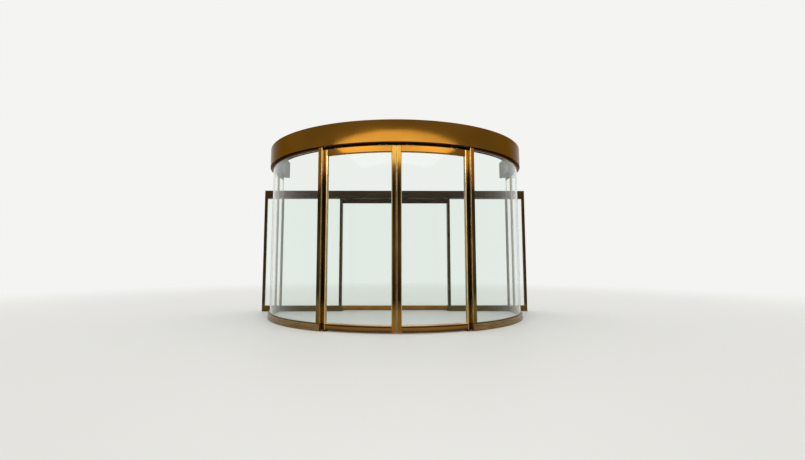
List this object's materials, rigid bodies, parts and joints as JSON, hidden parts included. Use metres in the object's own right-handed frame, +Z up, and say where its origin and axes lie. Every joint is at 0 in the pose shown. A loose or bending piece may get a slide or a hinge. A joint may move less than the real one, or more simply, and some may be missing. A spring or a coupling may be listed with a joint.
{
  "type": "half-round automatic glass entrance with curved sliding doors",
  "caption": "Half-round glass entrance lobby: brass fascia, curved sliding leaves in front, fixed curved sides and a flat screen with sliding leaves behind.",
  "frame": {"origin": "on the floor, in the middle of the whole object's footprint", "axes": "+X to the right as seen from the street, +Y from the street into the building, +Z up; the drum's vertical axis stands 0.805 m behind the origin"},
  "size_m": [4.604, 2.49, 2.615],
  "materials": {
    "fascia_brass": "satin, brushed along the curve",
    "brass_frame": "polished",
    "dark_bronze": "dark bronze, satin",
    "clear_glass": "clear, polished",
    "running_gear": "drawn, satin"
  },
  "bodies": {
    "surround": {"fascia_front": "fascia_brass", "fascia_left": "fascia_brass", "fascia_right": "fascia_brass", "header_front": "dark_bronze", "header_left": "dark_bronze", "header_right": "dark_bronze", "curved_track": "running_gear", "base_left": "brass_frame", "base_right": "brass_frame", "head_channel_left": "brass_frame", "head_channel_right": "brass_frame", "jamb_left": "brass_frame", "jamb_right": "brass_frame", "end_post_left": "brass_frame", "end_post_right": "brass_frame", "side_glass_left": "clear_glass", "side_glass_right": "clear_glass", "return_glass_left": "clear_glass", "return_glass_right": "clear_glass", "screen_header": "dark_bronze", "operator_cover": "dark_bronze", "screen_posts": "dark_bronze", "mullions": "brass_frame", "screen_sills": "dark_bronze", "sidelight_glass": "clear_glass", "outer_light_glass": "clear_glass", "screen_track": "running_gear", "floor_guides": "running_gear"},
    "front_leaf_left": {"leaf_left_top_rail": "brass_frame", "leaf_left_bottom_rail": "brass_frame", "leaf_left_stiles": "brass_frame", "leaf_left_glass": "clear_glass", "leaf_left_hangers": "running_gear"},
    "front_leaf_right": {"leaf_right_top_rail": "brass_frame", "leaf_right_bottom_rail": "brass_frame", "leaf_right_stiles": "brass_frame", "leaf_right_glass": "clear_glass", "leaf_right_hangers": "running_gear"},
    "inner_leaf_left": {"inner_left_frame": "dark_bronze", "inner_left_glass": "clear_glass", "inner_left_hangers": "running_gear"},
    "inner_leaf_right": {"inner_right_frame": "dark_bronze", "inner_right_glass": "clear_glass", "inner_right_hangers": "running_gear"}
  },
  "joints": [
    {"name": "front_right_slide", "type": "hinge", "parent": "surround", "child": "front_leaf_right", "pos_m": [0, 0.805, 0], "axis": [0, 0, 1], "range_deg": [0, 25.4]},
    {"name": "front_left_slide", "type": "hinge", "parent": "surround", "child": "front_leaf_left", "pos_m": [0, 0.805, 0], "axis": [0, 0, -1], "range_deg": [0, 25.4]},
    {"name": "inner_right_slide", "type": "slide", "parent": "surround", "child": "inner_leaf_right", "axis": [1, 0, 0], "range_m": [0, 0.87]},
    {"name": "inner_left_slide", "type": "slide", "parent": "surround", "child": "inner_leaf_left", "axis": [-1, 0, 0], "range_m": [0, 0.87]}
  ],
  "couplings": [
    {"joint": "front_left_slide", "follows": "front_right_slide", "ratio": 1},
    {"joint": "inner_left_slide", "follows": "inner_right_slide", "ratio": 1}
  ]
}
